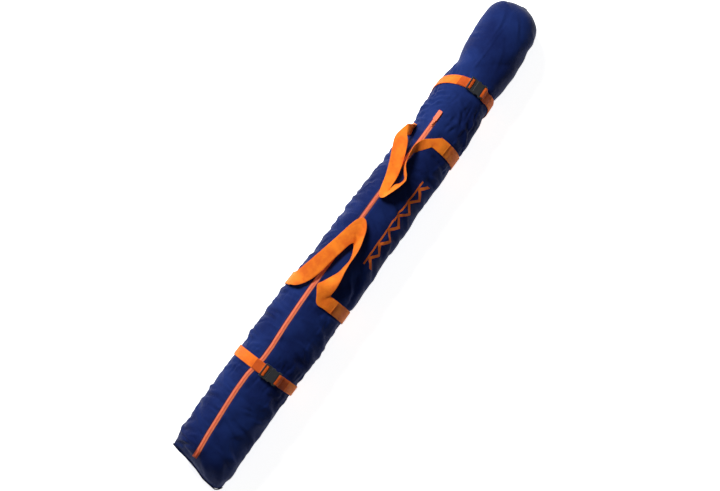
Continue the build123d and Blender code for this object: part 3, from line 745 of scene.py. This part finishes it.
UPPER_INNER = [
    (386, 93, 94), (386, 92.5, 124), (384, 87, 150), (385, 79, 169), (375, 84, 189),
    (371, 89, 198), (367, 88.5, 201), (358, 82, 207), (347, 74, 210), (318, 61, 212),
    (273, 45, 214),
    (226, 33, 216), (192, 31, 214), (179, 30, 213), (177, 29, 211.5), (182, 28, 208.5),
    (199, 24, 205.5), (210, 15, 204.5), (221, 9, 203.5), (236, 8, 203), (250, 19, 202),
    (272, 33, 201), (294, 40, 199), (314, 38, 198.5), (331, 33, 199.5), (345, 24, 200.5),
    (360, 13, 201.5), (376, 1, 202), (386, -7, 201.5), (386, -33, 199), (386, -53, 192.5),
]
loops = []
for side, outer, inner in (("lower", LOWER_OUTER, LOWER_INNER),
                           ("upper", UPPER_OUTER, UPPER_INNER)):
    first, second = spline(np.array(outer) * MM), spline(np.array(inner) * MM)
    loop = ribbon(f"{side}_handle_loop_webbing", first, second, crown=0.5 * MM, flip=True)
    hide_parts(f"{side}_handle_loop", f"{side}_handle_roots")
    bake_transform(loop)
    loops.append(loop)

# ------------------------------------------------------------------ zip
zip_xs = np.arange(zip_low_x, zip_high_x + 1e-6, 6 * MM)
zip_middle = np.stack([zip_xs, zip_line(zip_xs), zip_height(zip_xs)], -1)
ZIP_TILT = math.radians(18)
zip_normal = np.array([0, math.sin(ZIP_TILT), math.cos(ZIP_TILT)])
zip_side = np.array([0, math.cos(ZIP_TILT), -math.sin(ZIP_TILT)])
for name, near, far in (("left", 0.4, 8.8), ("right", -0.4, -8.8)):
    lines = [zip_middle + zip_side * w * MM - zip_normal * 1.3 * MM for w in (near, far)]
    tape = ribbon(f"zip_tape_{name}_cloth", *lines, thick=0.9 * MM, columns=5, flip=name == "left")
    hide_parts(f"zipper_tape_{name}")
    webbing.append((tape, "bag"))

TOOTH = 2.6 * MM
tooth_xs = np.arange(zip_low_x + 2 * MM, zip_high_x - 2 * MM, TOOTH / 3)
coil_line = np.stack([tooth_xs, zip_line(tooth_xs), zip_height(tooth_xs)], -1)
coils = []
for name, sign in (("left", 1), ("right", -1)):
    phase = np.arange(len(tooth_xs)) % 3
    bulge = np.where((phase + (sign > 0)) % 3 == 0, 1.0, 0.62)
    ring = []
    for width, up in ((0.15, -0.9), (0.15, 0.75), (1.5, 1.0), (2.9, 0.35), (3.1, -0.9)):
        ring.append(coil_line + zip_side * sign * width * MM * bulge[:, None]**0.4
                    + zip_normal * (up * MM * bulge)[:, None])
    points = np.stack(ring, 1)
    coil = mesh_object(f"zip_coil_{name}_teeth", points.reshape(-1, 3),
                       capped_faces(len(tooth_xs), len(ring), sign > 0))
    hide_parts(f"zipper_coil_{name}")
    coils.append(coil)

# the end stops, with the bottom one moved onto the zip's line
stops_cad = frame["nodes"]["zipper_stops"]
stop_points = np.array([stops_cad.matrix_world @ v.co for v in stops_cad.data.vertices])
lowest = stop_points[:, 0] < 0
stop_points[lowest, 1] += zip_line(stop_points[lowest, 0]) - zip_y
stop_points[lowest, 2] += zip_height(stop_points[lowest, 0]) - zip_z
stops = mesh_object("zip_end_stops", stop_points,
                    [tuple(p.vertices) for p in stops_cad.data.polygons], smooth=False)
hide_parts("zipper_stops")


# ------------------------------------------------------------------ piping at the bottom end
def tube_along(name, line, radius, sides=8):
    """A round cord along a closed line."""
    along = unit(np.roll(line, -1, 0) - np.roll(line, 1, 0))
    first = unit(np.cross(along, np.array([1.0, 0, 0])))
    second = np.cross(along, first)
    turn = np.linspace(0, 2 * math.pi, sides, endpoint=False)
    points = (line[:, None] + first[:, None] * np.cos(turn)[None, :, None] * radius
              + second[:, None] * np.sin(turn)[None, :, None] * radius)
    quads = grid_faces(len(line) + 1, sides, wrap=True) % (len(line) * sides)
    uvs = np.stack([np.repeat(run_along(line), sides), np.tile(turn * radius, len(line))], -1)
    return mesh_object(name, points.reshape(-1, 3), quads, uvs)


end_ring = settled[:columns] + np.array([-0.8 * MM, 0, 0])
end_ring[:, 2] = np.maximum(end_ring[:, 2], 2.4 * MM)
piping = tube_along("bottom_end_piping", end_ring, 2.1 * MM)

# ------------------------------------------------------------------ materials
class Graph:
    """A node material with its principled shader, and short ways to add nodes to it."""

    def __init__(self, name, colour, rough, metal=0.0, sheen=0.0, specular=0.5):
        self.material = bpy.data.materials.new(name)
        self.material.use_nodes = True
        self.nodes, self.links = self.material.node_tree.nodes, self.material.node_tree.links
        self.shader = self.nodes["Principled BSDF"]
        for socket, value in (("Base Color", (*colour, 1)), ("Roughness", rough),
                              ("Metallic", metal), ("Sheen Weight", sheen),
                              ("Sheen Roughness", 0.4), ("Specular IOR Level", specular)):
            self.shader.inputs[socket].default_value = value

    def node(self, kind, **settings):
        made = self.nodes.new(kind)
        for key, value in settings.items():
            setattr(made, key, value)
        return made

    def place(self):
        """Object coordinates."""
        return self.node("ShaderNodeTexCoord").outputs["Object"]

    def metres(self):
        """Both UV coordinates, in metres along and across the piece."""
        uv = self.node("ShaderNodeUVMap", uv_map="metres").outputs["UV"]
        split = self.node("ShaderNodeSeparateXYZ")
        self.links.new(uv, split.inputs[0])
        return split.outputs["X"], split.outputs["Y"]

    def maths(self, operation, *values):
        made = self.node("ShaderNodeMath", operation=operation)
        for index, value in enumerate(values):
            if isinstance(value, (int, float)):
                made.inputs[index].default_value = value
            else:
                self.links.new(value, made.inputs[index])
        return made.outputs[0]

    def times(self, first, second):
        return self.maths("MULTIPLY", first, second)

    def less(self, first, second):
        return self.maths("SUBTRACT", first, second)

    def size(self, value):
        return self.maths("ABSOLUTE", value)

    def mix(self, share, first, second):
        made = self.node("ShaderNodeMix", data_type="RGBA")
        for socket, value in (("Factor_Float", share), ("A_Color", first), ("B_Color", second)):
            target = next(s for s in made.inputs if s.identifier == socket)
            if isinstance(value, tuple):
                target.default_value = (*value, 1)
            elif isinstance(value, (int, float)):
                target.default_value = value
            else:
                self.links.new(value, target)
        return next(s for s in made.outputs if s.identifier == "Result_Color")

    def noise(self, vector, scale, detail=3.0, rough=0.5):
        made = self.node("ShaderNodeTexNoise")
        for socket, value in (("Scale", scale), ("Detail", detail), ("Roughness", rough)):
            made.inputs[socket].default_value = value
        self.links.new(vector, made.inputs["Vector"])
        return made.outputs["Fac"]

    def bump(self, height, strength, distance):
        made = self.node("ShaderNodeBump")
        made.inputs["Strength"].default_value = strength
        made.inputs["Distance"].default_value = distance
        self.links.new(height, made.inputs["Height"])
        self.links.new(made.outputs["Normal"], self.shader.inputs["Normal"])

    def ramp(self, value, low, high):
        made = self.node("ShaderNodeMapRange", interpolation_type="SMOOTHSTEP")
        made.inputs["From Min"].default_value = low
        made.inputs["From Max"].default_value = high
        self.links.new(value, made.inputs["Value"])
        return made.outputs["Result"]

    def wave(self, value, pitch):
        return self.maths("SINE", self.times(value, 2 * math.pi / pitch))

    def tone(self, colour):
        self.links.new(colour, self.shader.inputs["Base Color"])

    def rough(self, value):
        self.links.new(value, self.shader.inputs["Roughness"])


def outer_cloth(name, printed):
    g = Graph(name, (0.012, 0.024, 0.115), 0.5, specular=0.02)
    g.shader.inputs["Specular Tint"].default_value = (0.22, 0.32, 0.80, 1)
    u, v = g.metres()
    place = g.place()
    broad = g.noise(place, 7.0, 4.0, 0.55)
    fine = g.noise(place, 160.0, 2.0, 0.6)
    tone = g.mix(g.ramp(broad, 0.32, 0.68), (0.0060, 0.0115, 0.066), (0.0105, 0.0240, 0.118))
    tone = g.mix(g.times(fine, 0.35), tone, (0.0135, 0.027, 0.115))
    if printed:
        # a plain zigzag of peaks along the side, in outline
        along = g.maths("DIVIDE", g.less(u, PRINT_START), PRINT_PITCH)
        tooth = g.size(g.less(g.maths("FRACT", along), 0.5))
        peak = g.times(tooth, 2 * PRINT_HEIGHT)
        height = g.less(g.size(v), PRINT_BASE)
        gap = g.size(g.less(height, peak))
        stroke = g.maths("LESS_THAN", gap, PRINT_STROKE)
        base_gap = g.size(g.maths("ADD", height, 7 * MM))
        stroke = g.maths("MAXIMUM", stroke, g.maths("LESS_THAN", base_gap, PRINT_STROKE * 0.45))
        stroke = g.times(stroke, g.maths("LESS_THAN", v, 0.0))
        stroke = g.times(stroke, g.maths("GREATER_THAN", along, 0.0))
        stroke = g.times(stroke, g.maths("LESS_THAN", along, PRINT_COUNT))
        worn = g.times(stroke, g.ramp(fine, 0.1, 0.40))
        tone = g.mix(worn, tone, (0.62, 0.125, 0.020))
        # two rows of stitches beside the zip
        edge = g.size(g.less(g.size(v), 12.6 * MM))
        dash = g.maths("LESS_THAN", g.maths("FRACT", g.maths("DIVIDE", u, 3.6 * MM)), 0.68)
        stitch = g.times(dash, g.maths("LESS_THAN", edge, 0.5 * MM))
        in_zip = g.times(g.maths("GREATER_THAN", u, zip_low_x), g.maths("LESS_THAN", u, zip_high_x))
        stitch = g.times(stitch, in_zip)
        tone = g.mix(g.times(stitch, 0.7), tone, (0.045, 0.07, 0.21))
    g.tone(tone)
    shine = g.maths("ADD", g.times(broad, 0.22), 0.34)
    g.rough(shine)
    crinkle = g.noise(place, 42.0, 5.0, 0.6)
    threads = g.times(g.wave(u, 0.9 * MM), g.wave(v, 0.9 * MM))
    height = g.maths("ADD", crinkle, g.times(threads, 0.035))
    g.bump(height, 0.7, 2.6 * MM)
    return g.material


def web_material(name, colour, deep, half, tape_with_painted_shade=False):
    g = Graph(name, colour, 0.62, sheen=0.08, specular=0.2)
    g.shader.inputs["Sheen Tint"].default_value = (1.0, 0.55, 0.2, 1)
    u, v = g.metres()
    place = g.place()
    # darker patches at random: partly uneven tone of the webbing, partly painted shade for its
    # folds
    patches = g.noise(place, 22.0, 4.0, 0.6)
    fine = g.noise(place, 420.0, 2.0, 0.6)
    share = g.ramp(patches, 0.3, 0.72)
    if tape_with_painted_shade:
        share = g.maths("ADD", g.times(share, 0.15), 0.85)
    tone = g.mix(share, deep, colour)
    tone = g.mix(g.times(fine, 0.1 if tape_with_painted_shade else 0.22), tone, deep)
    rim = g.ramp(g.size(v), half - 2.2 * MM, half - 0.4 * MM)
    tone = g.mix(g.times(rim, 0.45), tone, deep)
    # painted shade on the zip tape: darker outer edges, a painted shadow over one stretch, and a
    # darker bottom end
    if tape_with_painted_shade:
        # painted shade: the tape's outer edges are darkened, for the shadow beside the zip
        edge = g.ramp(g.size(v), half - 1.6 * MM, half - 0.5 * MM)
        tone = g.mix(edge, tone, deep)
        # painted shadow: from 0.90 m to 1.36 m along the tape, all but its middle line is darkened,
        # for the shade of the cloth lips over the zip
        painted_lip_shadow = g.times(g.ramp(u, 0.90, 0.96), g.less(1.0, g.ramp(u, 1.28, 1.36)))
        painted_lip_shadow = g.times(painted_lip_shadow, g.ramp(g.size(v), 0.3 * MM, 1.6 * MM))
        tone = g.mix(g.times(painted_lip_shadow, 0.8), tone, (0.12, 0.025, 0.03))
        # painted shade: the tape's first 22 to 40 mm, at the bottom end where it turns down, is
        # darkened
        painted_end_shade = g.less(1.0, g.ramp(u, 0.022, 0.040))
        tone = g.mix(painted_end_shade, tone, (0.36, 0.055, 0.018))
    g.tone(tone)
    ribs, picks = g.wave(v, 2.2 * MM), g.wave(u, 1.5 * MM)
    height = g.times(g.maths("ADD", ribs, 1.2), g.maths("ADD", picks, 1.6))
    g.bump(height, 0.5, 0.35 * MM)
    return g.material


PRINT_START, PRINT_PITCH, PRINT_COUNT = -0.088, 0.060, 6.0
PRINT_HEIGHT, PRINT_BASE, PRINT_STROKE = 0.029, 0.110, 0.0078
navy = outer_cloth("navy_cloth", False)
navy_front = outer_cloth("navy_front_cloth", True)
orange = web_material("orange_webbing", (0.97, 0.25, 0.012), (0.76, 0.13, 0.006), HANDLE_HALF)
# painted shade: a darker copy of the strap webbing for the tails and folds at the buckles
painted_shade_strap_orange = web_material("painted_shade_strap_end_webbing", (0.66, 0.105, 0.007), (0.50, 0.065, 0.004),
                           STRAP_HALF)
strap_orange = web_material("orange_strap", (0.93, 0.225, 0.012), (0.76, 0.125, 0.006), STRAP_HALF)
tape_salmon = web_material("zip_tape", (0.84, 0.235, 0.115), (0.30, 0.03, 0.018), 4.2 * MM, True)


def plain_detail(name, colour, wear, rough, metal, grain, amount, specular=0.5):
    """A moulded or metal surface with fine grain and slightly worn patches."""
    g = Graph(name, colour, rough, metal, specular=specular)
    place = g.place()
    fine = g.noise(place, grain, 4.0, 0.6)
    patches = g.noise(place, 60.0, 3.0, 0.5)
    share = g.times(g.ramp(patches, 0.45, 0.75), 0.35)
    g.tone(g.mix(share, colour, wear))
    g.rough(g.maths("ADD", g.times(fine, 0.25), rough - 0.12))
    g.bump(fine, amount, 0.25 * MM)
    return g.material


plastic = plain_detail("buckle_plastic", (0.022, 0.023, 0.026), (0.045, 0.046, 0.05),
                       0.42, 0, 900, 0.25)
metal = plain_detail("slider_metal", (0.66, 0.15, 0.055), (0.74, 0.24, 0.11), 0.5, 0.35, 700, 0.2)
# dark rust-orange stops at both ends of the zip: the dark tone partly stands in for the painted
# shade at its bottom end
stop_metal = plain_detail("stop_metal", (0.30, 0.06, 0.02), (0.4, 0.1, 0.04), 0.5, 0.2, 700, 0.2)
grip = plain_detail("grip_rubber", (0.87, 0.15, 0.045), (0.70, 0.10, 0.03), 0.55, 0, 600, 0.3)
coil_nylon = plain_detail("coil_nylon", (0.80, 0.125, 0.045), (0.62, 0.08, 0.03), 0.45, 0, 800, 0.2)
piping_cloth = plain_detail("piping_cloth", (0.006, 0.009, 0.035), (0.010, 0.014, 0.05),
                            0.7, 0, 500, 0.4, specular=0.1)


def paint(thing, material):
    thing.data.materials.clear()
    thing.data.materials.append(material)


for name, piece in pieces.items():
    paint(piece, navy_front if name == "main_body_cloth" else navy)
    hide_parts(*CLOTH_NODES[name])
    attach(piece, "bag")
for piece, body in webbing:
    is_tape = piece.name.startswith("zip_tape")
    is_handle = "handle" in piece.name
    is_end = piece.name.endswith(("tail_webbing", "fold_webbing"))
    paint(piece, tape_salmon if is_tape else orange if is_handle else painted_shade_strap_orange if is_end
          else strap_orange)
    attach(piece, body)
for piece in loops:
    paint(piece, orange)
for piece in coils:
    paint(piece, coil_nylon)
    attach(piece, "bag")
paint(stops, stop_metal)
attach(stops, "bag")
paint(piping, piping_cloth)
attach(piping, "bag")

for name, thing in frame["nodes"].items():
    if "buckle" in name:
        paint(thing, plastic)
    elif name in ("zip_slider", "zip_pull_tab"):
        paint(thing, metal)
    elif name == "zip_pull_grip":
        paint(thing, grip)

# ------------------------------------------------------------------ floor, light and camera
floor = mesh_object("studio_floor", [(-9, -9, 0), (9, -9, 0), (9, 9, 0), (-9, 9, 0)],
                    [(0, 1, 2, 3)], smooth=False)
g = Graph("pale_floor", (0.97, 0.97, 0.97), 0.9, specular=0.1)
floor_noise = g.noise(g.place(), 3.0)
g.tone(g.mix(floor_noise, (0.965, 0.965, 0.965), (0.985, 0.985, 0.985)))
g.shader.inputs["Emission Color"].default_value = (1, 1, 1, 1)
g.shader.inputs["Emission Strength"].default_value = 0.88
paint(floor, g.material)
floor.location.z = -0.4 * MM


def area_light(name, place, target, size, power):
    data = bpy.data.lights.new(name, "AREA")
    data.shape, data.size, data.size_y = "RECTANGLE", size[0], size[1]
    data.energy = power
    light = bpy.data.objects.new(name, data)
    light.location = place
    light.rotation_euler = (Vector(target) - Vector(place)).to_track_quat("-Z", "Y").to_euler()
    bpy.context.scene.collection.objects.link(light)


area_light("key", (0.9, 2.6, 2.4), (-0.1, 0, 0.1), (1.6, 0.8), 178)
area_light("overhead", (0.0, 0.4, 4.6), (0, 0, 0), (2.5, 2.5), 12)
world = bpy.data.worlds.new("studio")
world.use_nodes = True
sky = world.node_tree.nodes["Background"].inputs
sky["Color"].default_value, sky["Strength"].default_value = (1, 1, 1, 1), 0.05
bpy.context.scene.world = world
bpy.context.scene.view_settings.view_transform = "Standard"

camera_data = bpy.data.cameras.new("camera")
camera_data.lens, camera_data.sensor_width = 52.4, 36
camera = bpy.data.objects.new("camera", camera_data)
CAMERA_AT = (-0.4877, 0.3307, 3.7882)
look = Vector((0.12205, -0.09173, -0.98826)).normalized()
right = look.cross(Vector((0.80535, 0.59008, 0.04475))).normalized()
up = right.cross(look)
camera.matrix_world = Matrix([(right[i], up[i], -look[i], CAMERA_AT[i]) for i in range(3)]
                             + [(0, 0, 0, 1)])
bpy.context.scene.collection.objects.link(camera)
bpy.context.scene.camera = camera
